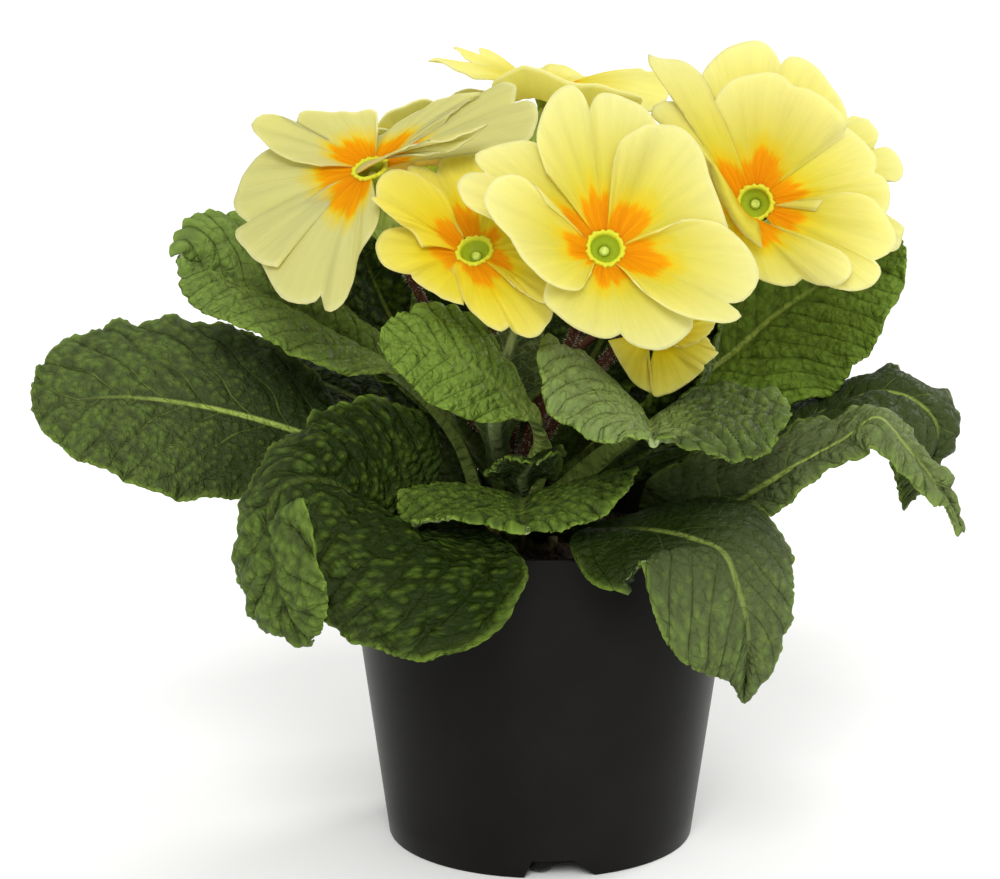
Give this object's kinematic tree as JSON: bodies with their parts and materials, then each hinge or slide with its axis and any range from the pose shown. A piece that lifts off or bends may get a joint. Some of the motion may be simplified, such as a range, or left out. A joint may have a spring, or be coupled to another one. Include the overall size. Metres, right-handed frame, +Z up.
{
  "type": "potted primrose",
  "caption": "Potted primrose: pale yellow blooms with orange eyes over a rosette of crinkled leaves, rooted in soil in a black nursery pot.",
  "frame": {"origin": "centre of the pot's base, where its centre pad meets the table, on the pot's axis", "axes": "+Z up along the pot's axis, the plant's fullest side towards -Y, +X to the right of someone who looks along +Y"},
  "size_m": [0.2073, 0.1387, 0.1812],
  "materials": {
    "pot_plastic": "satin black injection-moulded polypropylene",
    "soil": "moist crumbly peat compost",
    "crown": "fibrous leaf bases of the rootstock",
    "leaf": "crinkled green leaf blade with a pale midrib and fine hairs",
    "petal": "soft pale yellow petal with an orange eye",
    "calyx": "ribbed yellow-green calyx",
    "stalk": "reddish downy flower stalk",
    "pistil": "pale green stigma on its style"
  },
  "bodies": {
    "root": {"pot": "pot_plastic", "soil": "soil", "crown": "crown", "leaf_01": "leaf", "leaf_02": "leaf", "leaf_03": "leaf", "leaf_04": "leaf", "leaf_05": "leaf", "leaf_06": "leaf", "leaf_07": "leaf", "leaf_08": "leaf", "leaf_09": "leaf", "leaf_10": "leaf", "leaf_11": "leaf", "leaf_12": "leaf", "leaf_13": "leaf", "leaf_14": "leaf", "leaf_15": "leaf", "leaf_16": "leaf", "leaf_17": "leaf", "leaf_18": "leaf", "leaf_19": "leaf", "leaf_20": "leaf", "leaf_21": "leaf", "bloom_01_petals": "petal", "bloom_01_calyx": "calyx", "bloom_01_stalk": "stalk", "bloom_01_pistil": "pistil", "bloom_02_petals": "petal", "bloom_02_calyx": "calyx", "bloom_02_stalk": "stalk", "bloom_02_pistil": "pistil", "bloom_03_petals": "petal", "bloom_03_calyx": "calyx", "bloom_03_stalk": "stalk", "bloom_03_pistil": "pistil", "bloom_04_petals": "petal", "bloom_04_calyx": "calyx", "bloom_04_stalk": "stalk", "bloom_04_pistil": "pistil", "bloom_05_petals": "petal", "bloom_05_calyx": "calyx", "bloom_05_stalk": "stalk", "bloom_05_pistil": "pistil", "bloom_06_petals": "petal", "bloom_06_calyx": "calyx", "bloom_06_stalk": "stalk", "bloom_06_pistil": "pistil", "bloom_07_petals": "petal", "bloom_07_calyx": "calyx", "bloom_07_stalk": "stalk", "bloom_07_pistil": "pistil", "bloom_08_petals": "petal", "bloom_08_calyx": "calyx", "bloom_08_stalk": "stalk", "bloom_08_pistil": "pistil", "bud_petals": "petal", "bud_calyx": "calyx", "bud_stalk": "stalk"}
  },
  "joints": []
}
